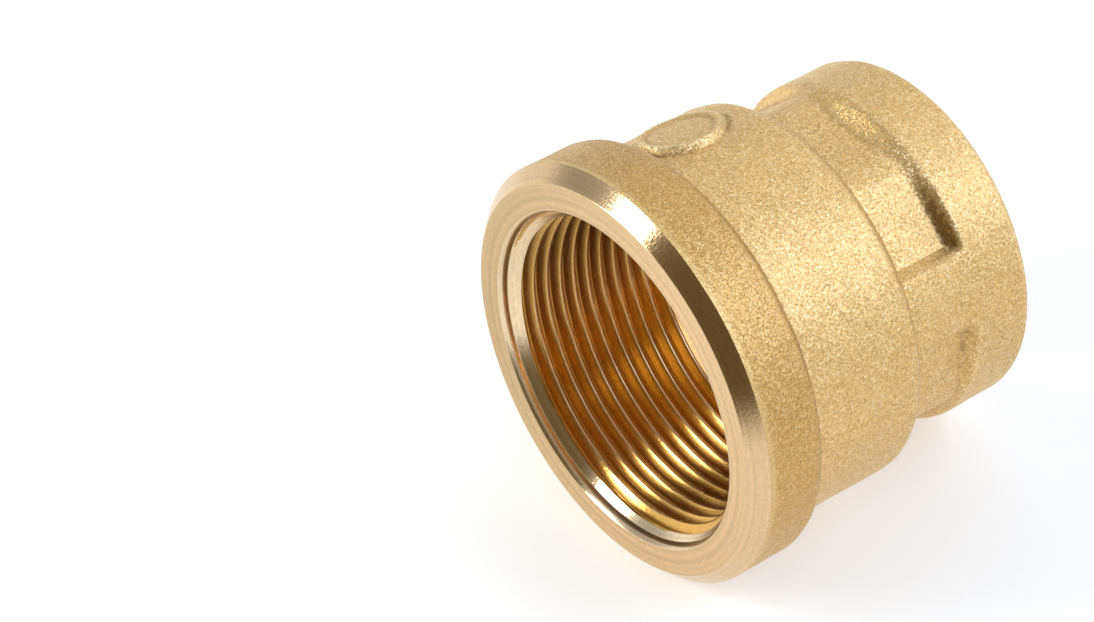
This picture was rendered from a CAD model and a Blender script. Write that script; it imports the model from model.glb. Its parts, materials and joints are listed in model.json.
"""Looks of a brass reducing coupling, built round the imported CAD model.

Shapes are worked out in millimetres. Along the bore they count x from the wide
face, as the CAD design does, and round the bore they count the angle from +Z
towards -Y. place() turns both into the shared frame, in metres.
"""

import json
import math

import bpy
import numpy as np
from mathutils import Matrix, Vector


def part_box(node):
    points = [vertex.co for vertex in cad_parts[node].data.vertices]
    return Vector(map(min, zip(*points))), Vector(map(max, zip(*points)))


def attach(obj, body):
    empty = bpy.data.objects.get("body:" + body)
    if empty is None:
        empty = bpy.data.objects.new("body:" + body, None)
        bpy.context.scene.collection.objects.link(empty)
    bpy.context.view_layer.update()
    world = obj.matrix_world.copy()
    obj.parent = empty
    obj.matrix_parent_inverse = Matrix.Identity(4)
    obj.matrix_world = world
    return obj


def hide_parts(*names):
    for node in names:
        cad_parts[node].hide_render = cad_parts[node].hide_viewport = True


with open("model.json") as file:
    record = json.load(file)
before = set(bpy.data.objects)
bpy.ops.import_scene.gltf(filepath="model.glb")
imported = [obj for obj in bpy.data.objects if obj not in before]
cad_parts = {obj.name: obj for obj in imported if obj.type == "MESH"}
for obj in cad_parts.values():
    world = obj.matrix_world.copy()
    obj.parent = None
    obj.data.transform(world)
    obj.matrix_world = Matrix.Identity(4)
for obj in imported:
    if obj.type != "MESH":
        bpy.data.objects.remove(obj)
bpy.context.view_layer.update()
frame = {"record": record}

MM = 0.001

# ---------------------------------------------------------------- sizes, mm

body_low, body_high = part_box("body")
mounts = {mount["name"]: mount for mount in frame["record"]["mounts"]}

LENGTH = (body_high.x - body_low.x) / MM
WIDE_FACE_X = body_low.x / MM
BAND_R = round(max(body_high.y, body_high.z) / MM, 1)
FLAT_R = mounts["wrench_flat"]["pos_m"][2] / MM
WIDE_CREST_R = mounts["wide_thread"]["dims"]["r_mm"]
NARROW_CREST_R = mounts["narrow_thread"]["dims"]["r_mm"]

# Whitworth form, 11 turns to the inch
PITCH = 25.4 / 11
THREAD_DEPTH = 0.640327 * PITCH
CREST_ROUND = 0.137329 * PITCH
WIDE_MAJOR_R = WIDE_CREST_R + THREAD_DEPTH
NARROW_MAJOR_R = NARROW_CREST_R + THREAD_DEPTH
WIDE_TURNS = 11
NARROW_TURNS = 7

BAND_LENGTH = 11.4
BAND_CHAMFER = 2.1
BARREL_R = 27.5
SHOULDER_X = 31.3
RING_R = 25.0
RING_LENGTH = 9.9
RIB_WIDTH = 11.6
BAND_ROUND = 1.6
BAND_FILLET = 1.1
SHOULDER_ROUND = 2.2
RING_ROUND = 1.2
COUNTERBORE_GAP = 0.15
COUNTERBORE_DEPTH = 1.35
LIP = 0.45
CONE_START = COUNTERBORE_DEPTH + COUNTERBORE_GAP
WATERWAY_R = 19.0
WIDE_BORE_END = 28.0
WATERWAY_START = 30.9
WATERWAY_END = 31.9
NARROW_BORE_START = WATERWAY_END + NARROW_MAJOR_R - WATERWAY_R
FLATS_END = LENGTH - RING_LENGTH
CASTING_TURN = math.radians(-22.5)
FLAT_COUNT = 8
PAD_X = 19.8
PAD_LENGTH = 13.4
PAD_WIDTH = 11.6
PAD_HEIGHT = 0.5
RIM_HEIGHT = 0.4
RIM_WIDTH = 1.2
# Where the turned-down edges of the band and the shoulder stand out most
BAND_EDGE_X = BAND_LENGTH - 0.5
SHOULDER_EDGE_X = SHOULDER_X - 0.9

# --------------------------------------------------- detail of the meshes

CASTING_COLUMNS = 420
THREAD_STEPS_PER_TURN = 180
FLOOR_COLUMNS = 96
SMALL_ROUNDING = 0.3
SHARP_ANGLE = math.radians(32)

# What each row of the casting is made of, in the order of its materials
SKIN, FACED, BORED, REAMED, CHAMFERED = range(5)

# ------------------------------------------------------------ shape helpers


def place(x, radius, angle):
    """Points in the shared frame, in metres."""
    x, radius, angle = np.broadcast_arrays(x, radius, angle)
    across = (x + WIDE_FACE_X, -radius * np.sin(angle), radius * np.cos(angle))
    return np.stack(across, axis=-1) * MM


def smooth(low, high, value):
    """0 below low, 1 above high, and an S curve between them."""
    t = np.clip((value - low) / (high - low), 0, 1)
    return t * t * (3 - 2 * t)


def turn_between(angle, centre):
    """The angle from centre, between minus half a turn and half a turn."""
    return (angle - centre + math.pi) % (2 * math.pi) - math.pi


def corner_arc(before, corner, after, radius):
    """Points of the arc that rounds one corner of an outline."""
    a = (before - corner) / np.linalg.norm(before - corner)
    b = (after - corner) / np.linalg.norm(after - corner)
    half = math.acos(np.clip(a @ b, -1, 1)) / 2
    middle = (a + b) / np.linalg.norm(a + b)
    centre = corner + middle * radius / math.sin(half)
    first = corner + a * radius / math.tan(half) - centre
    last = corner + b * radius / math.tan(half) - centre
    span = math.pi - 2 * half
    steps = 6 if radius > SMALL_ROUNDING else 3
    parts = np.linspace(0, 1, steps + 1)[:, None]
    of_first, of_last = np.sin((1 - parts) * span), np.sin(parts * span)
    return centre + (of_first * first + of_last * last) / math.sin(span)


def steps_along(start, end, spacing, hold=0.12):
    """Points between start and end, with one close to each so that shading holds."""
    length = np.linalg.norm(end - start)
    if length < 4 * hold:
        return np.empty((0, 2))
    count = max(1, round((length - 2 * hold) / spacing))
    parts = np.linspace(hold, length - hold, count + 1)[:, None] / length
    return start + (end - start) * parts


def section():
    """The casting's half section as a closed run of rows: x, radius and finish.

    Each corner gives its place, its rounding, the finish of what follows it and
    how far apart the rows of that stretch are. A rounding beside the skin is
    skin, and any other takes the later of its two finishes."""
    wide_r = WIDE_MAJOR_R + COUNTERBORE_GAP
    narrow_r = NARROW_MAJOR_R + COUNTERBORE_GAP
    corners = [
        (0, wide_r + LIP, 0.1, FACED, 0.7),
        (0, BAND_R - BAND_CHAMFER, 0.35, CHAMFERED, 0.6),
        (BAND_CHAMFER, BAND_R, 0, SKIN, 0.7),
        (BAND_LENGTH, BAND_R, BAND_ROUND, SKIN, 0.7),
        (BAND_LENGTH, BARREL_R, BAND_FILLET, SKIN, 0.42),
        (SHOULDER_X, BARREL_R, SHOULDER_ROUND, SKIN, 0.4),
        (SHOULDER_X, RING_R, 0.25, SKIN, 0.24),
        (SHOULDER_X + 1.6, RING_R, 0, SKIN, 1.1),
        (FLATS_END - 2.8, RING_R, 0, SKIN, 0.26),
        (FLATS_END + 1.1, RING_R, 0, SKIN, 0.8),
        (LENGTH, RING_R, RING_ROUND, SKIN, 0.4),
        (LENGTH, RING_R - RING_ROUND - 0.15, 0, FACED, 0.7),
        (LENGTH, narrow_r + LIP, 0.1, REAMED, 0.7),
        (LENGTH - LIP, narrow_r, 1.3, REAMED, 0.5),
        (LENGTH - COUNTERBORE_DEPTH, narrow_r, 0.4, REAMED, 0.4),
        (LENGTH - CONE_START, NARROW_MAJOR_R, 0, BORED, 4),
        (NARROW_BORE_START, NARROW_MAJOR_R, 0.2, BORED, 1),
        (WATERWAY_END, WATERWAY_R, 0.4, BORED, 1.5),
        (WATERWAY_START, WATERWAY_R, 0.5, BORED, 1.5),
        (WIDE_BORE_END, WIDE_MAJOR_R, 0.3, BORED, 4),
        (CONE_START, WIDE_MAJOR_R, 0, REAMED, 0.4),
        (COUNTERBORE_DEPTH, wide_r, 0.4, REAMED, 0.5),
        (LIP, wide_r, 1.3, REAMED, 0.3),
    ]
    rows, finishes = [], []
    points = [np.array(corner[:2], float) for corner in corners]
    arcs = []
    for i, (_, _, rounding, _, _) in enumerate(corners):
        before, here, after = points[i - 1], points[i], points[(i + 1) % len(points)]
        arcs.append(corner_arc(before, here, after, rounding) if rounding else here[None])
    for i, (_, _, _, finish, spacing) in enumerate(corners):
        ahead = arcs[(i + 1) % len(arcs)][0]
        stretch = np.concatenate([arcs[i], steps_along(arcs[i][-1], ahead, spacing)])
        before = corners[i - 1][3]
        turn = len(arcs[i]) - 1
        rows.extend(stretch)
        rounded = min(before, finish) if SKIN in (before, finish) else max(before, finish)
        finishes.extend([rounded] * turn)
        finishes.extend([finish] * (len(stretch) - turn))
    return np.array(rows), np.array(finishes)


def unevenness(x, angle, amplitude):
    """The slow waves of a cast skin, from 0 down to -amplitude."""
    chance = np.random.default_rng(11)
    total = np.zeros(np.broadcast(x, angle).shape)
    waves, most_round, most_along = 36, 26, 1.1
    for _ in range(waves):
        round_count = int(chance.integers(0, most_round))
        along = chance.uniform(-most_along, most_along)
        phase = chance.uniform(0, 2 * math.pi)
        total = total + np.cos(round_count * angle + along * x + phase)
    return amplitude * (np.tanh(total / math.sqrt(waves)) - 1) / 2


def dents(x, angle):
    """The nick on the shoulder's edge in the photo, and small knocks from the box.

    Each place has its x, its angle, how wide it is and how deep."""
    chance = np.random.default_rng(5)
    depth = np.zeros(np.broadcast(x, angle).shape)
    places = [(SHOULDER_EDGE_X, math.radians(53), 0.6, 0.28)]
    knocks = 26
    for _ in range(knocks):
        places.append((
            chance.uniform(4, LENGTH - 3),
            chance.uniform(0, 2 * math.pi),
            chance.uniform(0.4, 1.1),
            chance.uniform(0.03, 0.09),
        ))
    for at_x, at_angle, radius, deep in places:
        around = turn_between(angle, at_angle) * BARREL_R
        depth = depth - deep * np.exp(-((x - at_x) ** 2 + around**2) / radius**2)
    return depth


def wrench_flats(x, angle):
    """How far the neck is cut back by its eight flats, between the two ribs.

    They run out into the ring over a longer way on the upper side."""
    cosines = [
        np.maximum(np.cos(angle - CASTING_TURN - (i + 0.5) * 2 * math.pi / FLAT_COUNT), 0)
        for i in range(FLAT_COUNT)
    ]
    sharpness, edge = 26, 0.9
    octagon = FLAT_R / sum(c**sharpness for c in cosines) ** (1 / sharpness)
    off_rib = RING_R * np.abs(np.sin(angle - CASTING_TURN - math.pi / 2))
    beside_rib = smooth(RIB_WIDTH / 2 - edge, RIB_WIDTH / 2 + edge, off_rib)
    run_out = 0.8 + 2.0 * np.maximum(np.cos(angle), 0) ** 6
    before_ring = 1 - smooth(FLATS_END - run_out, FLATS_END + 1.0, x)
    along = smooth(SHOULDER_X, SHOULDER_X + edge, x) * before_ring
    return (RING_R - octagon) * beside_rib * along


def stuck_sand(x, angle):
    """Where moulding sand darkened the step that ends the flats, on one side."""
    behind, ahead, least_step = 0.2, 0.6, 0.25
    step = wrench_flats(x - behind, angle) - wrench_flats(x + ahead, angle)
    side = np.maximum(np.cos(angle - math.radians(50)), 0)
    return 1.5 * np.clip(step - least_step, 0, 1) * side**12


def dulled_edges(x):
    """1 on the turned-down edges of the band and the shoulder, which grime made brown."""
    reach = 1.1
    edges = (BAND_EDGE_X, SHOULDER_EDGE_X)
    return sum(np.exp(-((x - edge_x) / reach) ** 2) for edge_x in edges)


def makers_pad(x, angle):
    """Height of the plain oval pad: a rim round a flat field."""
    along = (x - PAD_X) / (PAD_LENGTH / 2)
    across = turn_between(angle, CASTING_TURN) * BARREL_R / (PAD_WIDTH / 2)
    inward = (1 - np.hypot(along, across)) * PAD_WIDTH / 2
    field = PAD_HEIGHT * smooth(-0.1, 0.6, inward)
    past_rim = smooth(RIM_WIDTH - 0.2, RIM_WIDTH + 0.4, inward)
    rim = RIM_HEIGHT * smooth(0.0, 0.6, inward) * (1 - past_rim)
    return field + rim


# ------------------------------------------------------------- mesh helpers


def ring_faces(rows, columns, rows_close):
    """Quads of a grid whose columns close into rings."""
    j = np.arange(rows if rows_close else rows - 1)[:, None]
    i = np.arange(columns)[None, :]
    nj, ni = (j + 1) % rows, (i + 1) % columns
    quads = [j * columns + i, j * columns + ni, nj * columns + ni, nj * columns + i]
    return np.stack(np.broadcast_arrays(*quads), axis=-1).reshape(-1, 4)


def make_piece(name, points, faces, finishes, materials):
    """A smooth-shaded object with crisp edges where its faces turn sharply.

    finishes says which of the materials each face has."""
    mesh = bpy.data.meshes.new(name)
    mesh.from_pydata(points.reshape(-1, 3).tolist(), [], faces)
    for material in materials:
        mesh.materials.append(material)
    mesh.polygons.foreach_set("material_index", np.asarray(finishes, dtype=np.int32))
    mesh.shade_smooth()
    mesh.set_sharp_from_angle(angle=SHARP_ANGLE)
    mesh.update()
    piece = bpy.data.objects.new(name, mesh)
    bpy.context.scene.collection.objects.link(piece)
    return piece


def hollowness(points):
    """How hollow the grid is at each point: above 0 in a crease, below 0 on an edge.

    Creases that run round the bore count most."""
    ahead_row, behind_row = np.roll(points, -1, 0), np.roll(points, 1, 0)
    ahead_column, behind_column = np.roll(points, -1, 1), np.roll(points, 1, 1)
    normal = np.cross(ahead_column - behind_column, ahead_row - behind_row)
    normal /= np.linalg.norm(normal, axis=-1, keepdims=True) + 1e-15
    outward = np.sign(np.sum(normal[..., 1:] * points[..., 1:], axis=-1, keepdims=True))
    normal *= outward
    total = 0
    pairs = ((ahead_row, behind_row, 1.2), (ahead_column, behind_column, 0.3))
    for ahead, behind, share in pairs:
        a, b = ahead - points, behind - points
        la = np.linalg.norm(a, axis=-1) + 1e-9
        lb = np.linalg.norm(b, axis=-1) + 1e-9
        bend = np.sum((a / la[..., None] + b / lb[..., None]) * normal, axis=-1)
        total = total + share * bend / (la + lb) * 2
    return total * MM


def spread(values, times):
    """Values averaged with their neighbours on the grid."""
    for _ in range(times):
        values = (
            values * 2 + np.roll(values, 1, 0) + np.roll(values, -1, 0)
            + np.roll(values, 1, 1) + np.roll(values, -1, 1)
        ) / 6
    return values


# ------------------------------------------------------------ node helpers


def node(tree, kind, inputs=None, **settings):
    """A shader node, with its settings and its inputs set or linked."""
    made = tree.nodes.new("ShaderNode" + kind)
    for name, value in settings.items():
        setattr(made, name, value)
    for key, value in (inputs or {}).items():
        if isinstance(value, bpy.types.NodeSocket):
            tree.links.new(value, made.inputs[key])
        else:
            made.inputs[key].default_value = value
    return made


def arithmetic(tree, operation, first, second):
    """What one Math node makes of two numbers."""
    return node(tree, "Math", {0: first, 1: second}, operation=operation).outputs[0]


def vectors(tree, operation, first, second=None, scale=None):
    """What one VectorMath node makes: a number for a length or a dot product."""
    given = {0: first, 1: second, "Scale": scale}
    inputs = {key: value for key, value in given.items() if value is not None}
    made = node(tree, "VectorMath", inputs, operation=operation)
    return made.outputs["Value" if operation in ("LENGTH", "DOT_PRODUCT") else "Vector"]


def millimetres(tree):
    """Object coordinates in millimetres."""
    place_of = node(tree, "TexCoord").outputs["Object"]
    return vectors(tree, "SCALE", place_of, scale=1 / MM)


def noise(tree, vector, scale, detail=2.0, roughness=0.5):
    inputs = {"Vector": vector, "Scale": scale, "Detail": detail, "Roughness": roughness}
    return node(tree, "TexNoise", inputs).outputs["Fac"]


def ramp(tree, value, low, high, to_low=0.0, to_high=1.0):
    inputs = {"Value": value, 1: low, 2: high, 3: to_low, 4: to_high}
    return node(tree, "MapRange", inputs).outputs[0]


def smooth_ramp(tree, value, low, high):
    inputs = {"Value": value, 1: low, 2: high}
    return node(tree, "MapRange", inputs, interpolation_type="SMOOTHSTEP").outputs[0]


def blend_colour(tree, factor, first, second, how="MIX"):
    inputs = {0: factor, 6: first, 7: second}
    return node(tree, "Mix", inputs, data_type="RGBA", blend_type=how).outputs[2]


def bump(tree, height, distance, strength=1.0, below=None):
    inputs = {"Height": height, "Distance": distance * MM, "Strength": strength}
    if below is not None:
        inputs["Normal"] = below
    return node(tree, "Bump", inputs).outputs[0]


def new_material(name):
    """A material with one Principled shader; returns it with its tree and shader."""
    material = bpy.data.materials.new(name)
    material.use_nodes = True
    tree = material.node_tree
    tree.nodes.clear()
    shader = node(tree, "BsdfPrincipled")
    node(tree, "OutputMaterial", {"Surface": shader.outputs[0]})
    return material, tree, shader


def feed(tree, shader, **inputs):
    """Links or sets the shader's inputs; an underscore stands for a space."""
    for name, value in inputs.items():
        socket = shader.inputs[name.replace("_", " ")]
        if isinstance(value, bpy.types.NodeSocket):
            tree.links.new(value, socket)
        else:
            socket.default_value = value


def from_axis(tree, vector):
    """x and the distance from the bore's axis, in millimetres."""
    along = node(tree, "SeparateXYZ", {0: vector}).outputs["X"]
    flat = vectors(tree, "MULTIPLY", vector, (0, 1, 1))
    return along, vectors(tree, "LENGTH", flat)


# --------------------------------------------------------------- materials


def on_band(tree, at):
    """1 on the band, and 0 past a wavering line just behind it."""
    along, _ = from_axis(tree, at)
    wander = arithmetic(tree, "ADD", noise(tree, at, 0.5), along)
    band_end = WIDE_FACE_X + BAND_LENGTH + 1.2
    return ramp(tree, wander, band_end - 0.6, band_end + 0.6, 1, 0)


def skin_colour(tree, at, grain, cells):
    """Gold grain under sparks, stains and pits, brown in creases, bright on edges."""
    spark = node(tree, "SeparateXYZ", {0: cells}).outputs["X"]
    stain = noise(tree, at, 0.16, 3.0, 0.6)
    pit = noise(tree, at, 1.9, 2.0, 0.6)
    crease = node(tree, "Attribute", attribute_name="edge").outputs["Fac"]
    ragged = ramp(tree, noise(tree, at, 1.8, 3.0, 0.7), 0.38, 0.62, 0.3, 1.5)
    edge = arithmetic(tree, "MULTIPLY", crease, ragged)
    dark_grain, light_grain = (0.50, 0.325, 0.10, 1), (0.94, 0.66, 0.275, 1)
    colour = blend_colour(tree, ramp(tree, grain, 0.3, 0.7), dark_grain, light_grain)
    layers = (
        (ramp(tree, spark, 0.72, 1.0, 0, 0.7), (1.0, 0.87, 0.56)),
        (ramp(tree, stain, 0.35, 0.75, 0, 0.35), (0.78, 0.54, 0.24)),
        (ramp(tree, pit, 0.60, 0.72, 0, 0.4), (0.42, 0.27, 0.09)),
        (ramp(tree, edge, 0.10, 0.8, 0, 0.8), (0.20, 0.115, 0.035)),
        (ramp(tree, edge, -0.08, -0.6, 0, 0.5), (1.0, 0.82, 0.46)),
    )
    for share, tint in layers:
        colour = blend_colour(tree, share, colour, (*tint, 1))
    band_tint = (0.81, 0.75, 0.62, 1)
    return blend_colour(tree, on_band(tree, at), colour, band_tint, "MULTIPLY")


def grit_facets(tree, cells):
    """The surface's normal, leaning another way in each grain of the skin."""
    jitter = vectors(tree, "SUBTRACT", cells, (0.5, 0.5, 0.5))
    tilt = vectors(tree, "SCALE", jitter, scale=0.35)
    normal = node(tree, "NewGeometry").outputs["Normal"]
    return vectors(tree, "NORMALIZE", vectors(tree, "ADD", normal, tilt))


def cast_skin():
    """Grit-blasted casting: a matt gold skin with a fine sparkling grain."""
    material, tree, shader = new_material("cast_skin")
    at = millimetres(tree)
    grain = noise(tree, at, 3.6, 2.0, 0.6)
    cells = node(tree, "TexVoronoi", {"Vector": at, "Scale": 4.2}).outputs["Color"]
    lumps = bump(tree, noise(tree, at, 0.5, 2.0, 0.5), 0.10, 0.5, grit_facets(tree, cells))
    feed(
        tree, shader,
        Base_Color=skin_colour(tree, at, grain, cells),
        Metallic=1.0,
        Roughness=ramp(tree, grain, 0.3, 0.7, 0.56, 0.40),
        Coat_Weight=0.3,
        Coat_Roughness=0.45,
        Normal=bump(tree, grain, 0.075, 1.0, lumps),
    )
    return material


def turned_brass(
    name, colour, roughness, rings_per_mm, stretch, chatter,
    tarnish=1.0, crest_colour=None, crest_r=0.0,
):
    """Brass cut on a lathe, with fine rings round the bore.

    roughness is its lowest and highest over the rings, stretch the shader's
    anisotropy, chatter the height of the tool's small jumps and tarnish the shade
    that handling left on one side. A thread's crests, which stand at crest_r, can
    have a colour of their own. The quarter turn of the anisotropy spreads the
    highlight across the rings."""
    material, tree, shader = new_material(name)
    at = millimetres(tree)
    along, radius = from_axis(tree, at)
    across = node(tree, "CombineXYZ", {"X": along, "Y": radius}).outputs[0]
    rings = noise(tree, across, rings_per_mm, 3.0, 0.6)
    broad = noise(tree, across, 1.6, 2.0, 0.5)
    specks = noise(tree, at, 1.8, 3.0, 0.7)
    jumps = noise(tree, at, 2.6, 1.0, 0.5)
    off_crest = ramp(tree, radius, crest_r + 0.01, crest_r + 0.09)
    plain = blend_colour(tree, off_crest, (*(crest_colour or colour), 1), (*colour, 1))
    mottle = ramp(tree, arithmetic(tree, "ADD", broad, specks), 0.75, 1.25, 0.86, 1.06)
    aside = vectors(tree, "DOT_PRODUCT", at, (0, 0.95, 0.3))
    handled = ramp(tree, aside, -5, 24, 1.0, tarnish)
    shade = arithmetic(tree, "MULTIPLY", mottle, handled)
    waves = bump(tree, broad, 0.045, 0.6, bump(tree, rings, 0.01, 0.7))
    feed(
        tree, shader,
        Base_Color=vectors(tree, "SCALE", plain, scale=shade),
        Metallic=1.0,
        Roughness=ramp(tree, rings, 0.3, 0.7, *roughness),
        Anisotropic=stretch,
        Anisotropic_Rotation=0.25,
        Tangent=node(tree, "Tangent", direction_type="RADIAL", axis="X").outputs[0],
        Normal=bump(tree, jumps, chatter, 0.6, bump(tree, specks, 0.01, 0.6, waves)),
    )
    return material


def studio_white(name, tone, glow):
    """A pale, barely toothed floor; glow is what shines through it from below."""
    material, tree, shader = new_material(name)
    tooth = noise(tree, millimetres(tree), 0.8, 2.0)
    low, high = (Vector(tone) * shade for shade in (0.98, 1.0))
    feed(
        tree, shader,
        Base_Color=blend_colour(tree, tooth, (*low, 1), (*high, 1)),
        Roughness=0.9,
        Specular_IOR_Level=0.1,
        Emission_Color=(1, 1, 1, 1),
        Emission_Strength=glow,
    )
    return material


# ------------------------------------------------------------------ pieces


def skin_shape(x, radius, angle, skin_rows, on_neck, rough):
    """The casting's radius, where its skin has its flats, its pad and its waves."""
    shape = np.repeat(radius, CASTING_COLUMNS, axis=1)
    shape = shape + skin_rows * rough * smooth(LENGTH + 0.2, LENGTH - 1.2, x)
    shape = shape + skin_rows * dents(x, angle) * smooth(BAND_CHAMFER, BAND_CHAMFER + 1, x)
    shape = shape - skin_rows * on_neck * wrench_flats(x, angle)
    on_barrel = (x > BAND_LENGTH + BAND_FILLET - 0.5) & (x < SHOULDER_X - 0.5)
    return shape + skin_rows * on_barrel * makers_pad(x, angle)


def grime(points, x, radius, angle, skin_rows, on_neck):
    """Above 0 where grime sits on the skin, and below 0 where its edges are worn."""
    neck_share, brown = 0.3, 0.42
    creases = np.where(on_neck, neck_share, 1.0) * hollowness(points)
    hollow = creases + skin_rows * on_neck * stuck_sand(x, angle)
    dulled = dulled_edges(x) * (radius > RING_R + 1)
    return spread(hollow * (1 - dulled) + brown * dulled, 2)


def make_casting(materials):
    """The whole casting as one closed skin, outside and in."""
    rows, finishes = section()
    angle = np.linspace(0, 2 * math.pi, CASTING_COLUMNS, endpoint=False)[None, :]
    x, radius = rows[:, 0][:, None], rows[:, 1][:, None]
    skin = finishes == SKIN
    skin_rows = skin[:, None]
    first = int(np.argmax(skin))
    last = first + int(np.sum(skin))
    on_neck = (x > SHOULDER_X - 0.05) & (radius < RING_R + 0.2)
    calm_by_chamfer = 0.3 + 0.7 * smooth(BAND_CHAMFER, BAND_CHAMFER + 2.5, x)
    rough = unevenness(x, angle, 0.11) * calm_by_chamfer
    shape = skin_shape(x, radius, angle, skin_rows, on_neck, rough)
    # Where the skin dips, its first row slides down the chamfer
    along = np.repeat(x, CASTING_COLUMNS, axis=1)
    along[first] += rough[first]
    points = place(along, shape, angle)
    faces = ring_faces(len(rows), CASTING_COLUMNS, rows_close=True).tolist()
    of_faces = np.repeat(finishes, CASTING_COLUMNS)
    casting = make_piece("casting", points, faces, of_faces, materials)
    hollow = grime(points, x, radius, angle, skin_rows, on_neck)
    hollow[:first + 1] = 0
    hollow[last:] = 0
    edge = casting.data.attributes.new("edge", "FLOAT", "POINT")
    edge.data.foreach_set("value", hollow.astype(np.float32).ravel())
    return casting


def thread_form(steps=5):
    """Whitworth form: offsets along the bore over one pitch, and heights over the root."""
    flank = math.radians(27.5)
    turn = np.linspace(math.pi / 2 - flank, 0, steps)
    root_s = CREST_ROUND * np.sin(turn)[::-1]
    root_h = CREST_ROUND * (1 - np.cos(turn))[::-1]
    crest_s = CREST_ROUND * np.sin(turn)
    crest_h = THREAD_DEPTH - CREST_ROUND * (1 - np.cos(turn))
    parts = np.linspace(0, 1, steps)[1:-1]
    flank_s = root_s[-1] + (PITCH / 2 - crest_s[0] - root_s[-1]) * parts
    flank_h = root_h[-1] + (crest_h[0] - root_h[-1]) * parts
    rising_s = np.concatenate([root_s, flank_s, PITCH / 2 - crest_s]) - PITCH / 2
    rising_h = np.concatenate([root_h, flank_h, crest_h])
    offsets = np.concatenate([rising_s, -rising_s[-2::-1]])
    heights = np.concatenate([rising_h, rising_h[-2::-1]])
    return offsets, heights


def make_thread(name, major_r, mouth_x, inward, turns, lined_up, materials):
    """A right-hand ridge that winds inside the bore from the mouth's cone.

    inward is 1 where the thread runs to +X and -1 where it runs to -X. lined_up is
    the angle at which the first whole crest stands where the CAD ring does. The
    ridge sinks into the wall at its inner end and is cut by the cone at its outer
    end, a hair proud of the casting's own cone. Its back lies inside the wall."""
    fade_turns, sunk, proud, squeeze = 0.4, 0.04, 0.01, 0.02
    lead = CONE_START + THREAD_DEPTH + PITCH / 12
    crest_first = mouth_x + inward * lead
    crest_last = crest_first + inward * (turns - 1) * PITCH
    crest_out = mouth_x + inward * 0.2
    steps = int(abs(crest_last - crest_out) / PITCH * THREAD_STEPS_PER_TURN)
    outermost = crest_last - inward * steps * PITCH / THREAD_STEPS_PER_TURN
    crest = np.linspace(crest_last, outermost, steps + 1)[:, None]
    angle = lined_up + (crest - crest_first) / PITCH * 2 * math.pi
    offsets, heights = thread_form()
    x = crest + offsets[None, :]
    fade = smooth(0, fade_turns, np.abs(crest - crest_last) / PITCH)
    radius = major_r - heights[None, :] * fade + sunk * (1 - fade)
    # What would stand out past the cone is squeezed together inside the wall
    deep = (x - mouth_x) * inward
    buried = CONE_START / 2
    deep = np.where(deep < buried, buried + squeeze * (deep - buried), deep)
    x = mouth_x + inward * deep
    cone = major_r + CONE_START - deep - proud
    on_cone = radius <= cone
    radius = np.maximum(radius, cone)
    back_r = major_r + CONE_START
    x = np.concatenate([x, x[:, -1:], x[:, :1]], axis=1)
    radius = np.concatenate([radius, np.full((steps + 1, 2), back_r)], axis=1)
    columns = x.shape[1]
    points = place(x, radius, angle)
    quads = ring_faces(steps + 1, columns, rows_close=False)
    on_cone = np.pad(on_cone, ((0, 0), (0, 2))).ravel()
    finishes = (on_cone[quads].sum(axis=1) >= 3).astype(int).tolist() + [0, 0]
    ends = [list(range(columns))[::-1], [steps * columns + i for i in range(columns)]]
    return make_piece(name, points, quads.tolist() + ends, finishes, materials)


def face_outward(piece):
    """Turns the faces of a closed piece to look out of its solid."""
    mesh = piece.data
    mesh.calc_loop_triangles()
    co = np.empty(len(mesh.vertices) * 3)
    mesh.vertices.foreach_get("co", co)
    co = co.reshape(-1, 3)
    corners = np.empty(len(mesh.loop_triangles) * 3, dtype=np.int32)
    mesh.loop_triangles.foreach_get("vertices", corners)
    a, b, c = (co[corners.reshape(-1, 3)[:, i]] for i in range(3))
    if np.sum(a * np.cross(b, c)) < 0:
        mesh.flip_normals()


# ------------------------------------------------------------------- stage


def rest_plane():
    """Slope and depth of the floor that the band and the ring both rest on."""
    band = np.array([BAND_LENGTH - BAND_ROUND, BAND_R - BAND_ROUND])
    ring = np.array([LENGTH - RING_ROUND, RING_R - RING_ROUND])
    run, drop = ring[0] - band[0], band[1] - ring[1]
    slope = math.atan2(drop, run) + math.asin((BAND_ROUND - RING_ROUND) / math.hypot(run, drop))
    depth = band[0] * math.sin(slope) + band[1] * math.cos(slope) + BAND_ROUND
    depth += WIDE_FACE_X * math.sin(slope)
    return slope, depth


def make_floor(name, radius, height, lower, material):
    """A round floor, so many metres lower than the plane that the part rests on.

    With a height it curves up at its rim into the walls and roof of a room. The
    lower the roundness, the flatter the floor and the tighter that curve."""
    slope, depth = rest_plane()
    turn = np.linspace(0, 2 * math.pi, FLOOR_COLUMNS, endpoint=False)[None, :]
    up = np.array([-math.sin(slope), 0, math.cos(slope)])
    along = np.array([math.cos(slope), 0, math.sin(slope)])
    across = np.array([0, 1, 0])
    steps, roundness = 24, 0.5
    rise = np.linspace(0.0, math.pi / 2, steps + 1)[1:]
    if height:
        rise = np.concatenate([rise, rise[-2::-1]])
    out = radius * np.sin(rise) ** roundness
    up_by = 1 - np.cos(rise) ** roundness
    up_by[steps:] = 2 - up_by[steps:]
    up_by = (up_by - up_by[0]) * height / 2
    spoke = np.cos(turn)[..., None] * along + np.sin(turn)[..., None] * across
    centre = -up * (depth * MM + lower)
    points = centre + out[:, None, None] * spoke + up_by[:, None, None] * up
    quads = ring_faces(len(rise), turn.size, rows_close=False).tolist()
    middle = [list(range(turn.size))]
    floor = make_piece(name, points, quads + middle, [0] * (len(quads) + 1), [material])
    return floor


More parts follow.
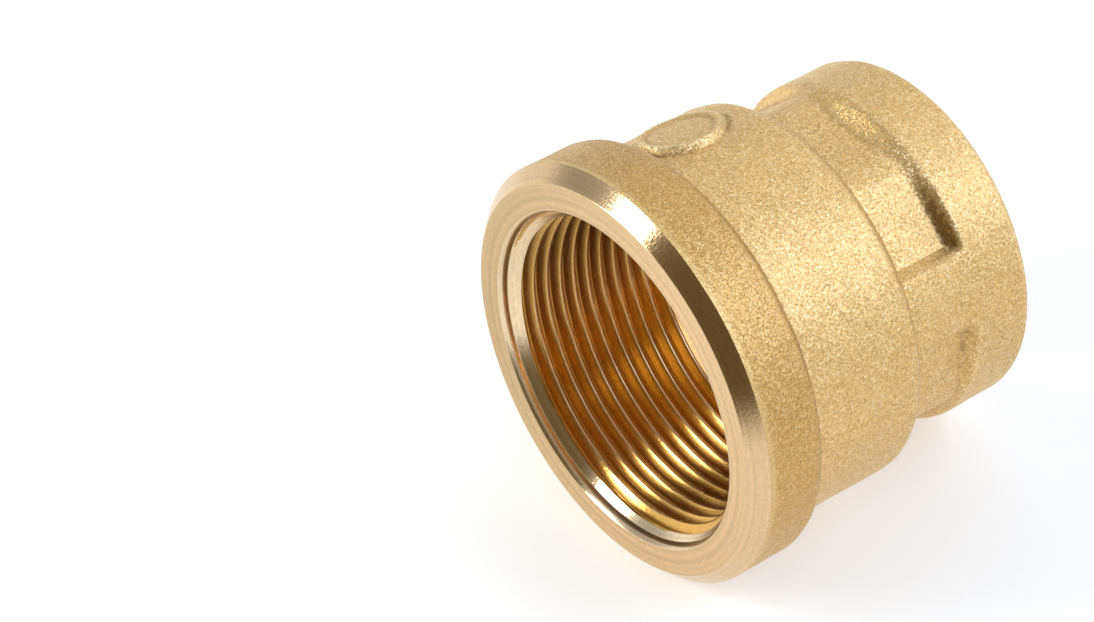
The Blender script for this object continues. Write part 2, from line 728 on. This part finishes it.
def soft_light(name, direction, distance, size, brightness, colour=(1, 1, 1)):
    """A rectangular soft light that faces the part: size is its width and height in
    metres, and brightness its radiance."""
    data = bpy.data.lights.new(name, "AREA")
    data.shape = "RECTANGLE"
    data.size, data.size_y = size
    data.energy = brightness * math.pi * size[0] * size[1]
    data.color = colour
    light = bpy.data.objects.new(name, data)
    towards = Vector(direction).normalized()
    light.location = towards * distance
    light.rotation_mode = "QUATERNION"
    light.rotation_quaternion = towards.to_track_quat("Z", "Y")
    light.visible_camera = False
    bpy.context.scene.collection.objects.link(light)
    return light


def make_world():
    """A room whose floor and far side are pale, with a dark side past the wide mouth."""
    world = bpy.data.worlds.new("pale_room")
    bpy.context.scene.world = world
    world.use_nodes = True
    tree = world.node_tree
    tree.nodes.clear()
    direction = node(tree, "TexCoord").outputs["Generated"]
    height = node(tree, "SeparateXYZ", {0: direction}).outputs["Z"]
    dark_side = Vector((-0.89, -0.18, 0.42)).normalized()
    towards = vectors(tree, "DOT_PRODUCT", direction, dark_side)
    walls = ramp(tree, towards, -0.4, 0.3, 0.78, 0.42)
    below, darkness = (1.0, 0.99, 0.97, 1), (0.155, 0.115, 0.06, 1)
    room = blend_colour(tree, smooth_ramp(tree, height, -0.05, 0.15), below, walls)
    colour = blend_colour(tree, smooth_ramp(tree, towards, 0.62, 0.84), room, darkness)
    background = node(tree, "Background", {"Color": colour, "Strength": 1.0})
    node(tree, "OutputWorld", {"Surface": background.outputs[0]})


def make_camera():
    """The camera at the photographed angle, with the part to the right of the middle."""
    azimuth, elevation = math.radians(-127.80), math.radians(41.18)
    distance = 538.54 * MM
    aim = Vector((-23.28, 17.08, -0.88)) * MM
    back = Vector((
        math.cos(azimuth) * math.cos(elevation),
        math.sin(azimuth) * math.cos(elevation),
        math.sin(elevation),
    ))
    data = bpy.data.cameras.new("camera")
    data.sensor_width = 36
    data.lens = 131.63
    data.clip_start, data.clip_end = 0.01, 50
    camera = bpy.data.objects.new("camera", data)
    camera.location = aim + back * distance
    camera.rotation_mode = "QUATERNION"
    camera.rotation_quaternion = back.to_track_quat("Z", "Y")
    bpy.context.scene.collection.objects.link(camera)
    bpy.context.scene.camera = camera


def make_stage():
    """A floor lit from below that the camera sees, over one that the brass reflects."""
    glowing = studio_white("glowing_white", (0.88, 0.92, 0.94), 0.32)
    shown = make_floor("floor", 4.0, 4.0, 0, glowing)
    shown.visible_glossy = False
    shown.visible_diffuse = False
    shown.visible_shadow = False
    plain = studio_white("plain_white", (0.66, 0.64, 0.605), 0.43)
    mirrored = make_floor("floor_in_reflections", 0.2, 0, 0.0005, plain)
    mirrored.visible_camera = False
    make_world()
    soft_light("key_light", (-0.79, 0.50, 0.30), 0.70, (0.19, 0.50), 13.0)
    soft_light("side_light", (0.46, -0.55, 0.70), 0.80, (0.60, 0.50), 2.6, (0.90, 1.0, 1.28))
    soft_light("top_light", (0.42, 0.35, 0.84), 1.00, (0.70, 0.70), 0.7)
    bpy.context.scene.view_settings.view_transform = "Standard"


# -------------------------------------------------------------------- main

face_brass = turned_brass(
    "faced_brass", (0.79, 0.56, 0.30), (0.24, 0.16), 7, 0.45, 0.004, tarnish=0.78
)
chamfer_brass = turned_brass(
    "chamfered_brass", (0.75, 0.54, 0.31), (0.22, 0.12), 7, 0.45, 0.02
)
cone_brass = turned_brass(
    "reamed_brass", (0.86, 0.69, 0.46), (0.26, 0.18), 6, 0.9, 0.012
)
bore_brass = turned_brass(
    "bored_brass", (0.74, 0.47, 0.18), (0.30, 0.20), 9, 0.0, 0.01
)
wide_brass, narrow_brass = (
    turned_brass(
        name, (0.88, 0.53, 0.14), (0.28, 0.20), 11, 0.9, 0.02,
        tarnish=0.66, crest_colour=(0.95, 0.73, 0.45), crest_r=crest_r,
    )
    for name, crest_r in (
        ("wide_thread_brass", WIDE_CREST_R), ("narrow_thread_brass", NARROW_CREST_R)
    )
)

casting = make_casting([cast_skin(), face_brass, bore_brass, cone_brass, chamfer_brass])
face_outward(casting)
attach(casting, "root")
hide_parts("body")

wide_ridge = make_thread(
    "wide_thread_ridge", WIDE_MAJOR_R, 0, 1, WIDE_TURNS,
    math.radians(30), [wide_brass, cone_brass],
)
narrow_ridge = make_thread(
    "narrow_thread_ridge", NARROW_MAJOR_R, LENGTH, -1, NARROW_TURNS,
    math.radians(40), [narrow_brass, cone_brass],
)
for ridge, cad_node in ((wide_ridge, "wide_thread"), (narrow_ridge, "narrow_thread")):
    face_outward(ridge)
    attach(ridge, "root")
    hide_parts(cad_node)

make_camera()
make_stage()
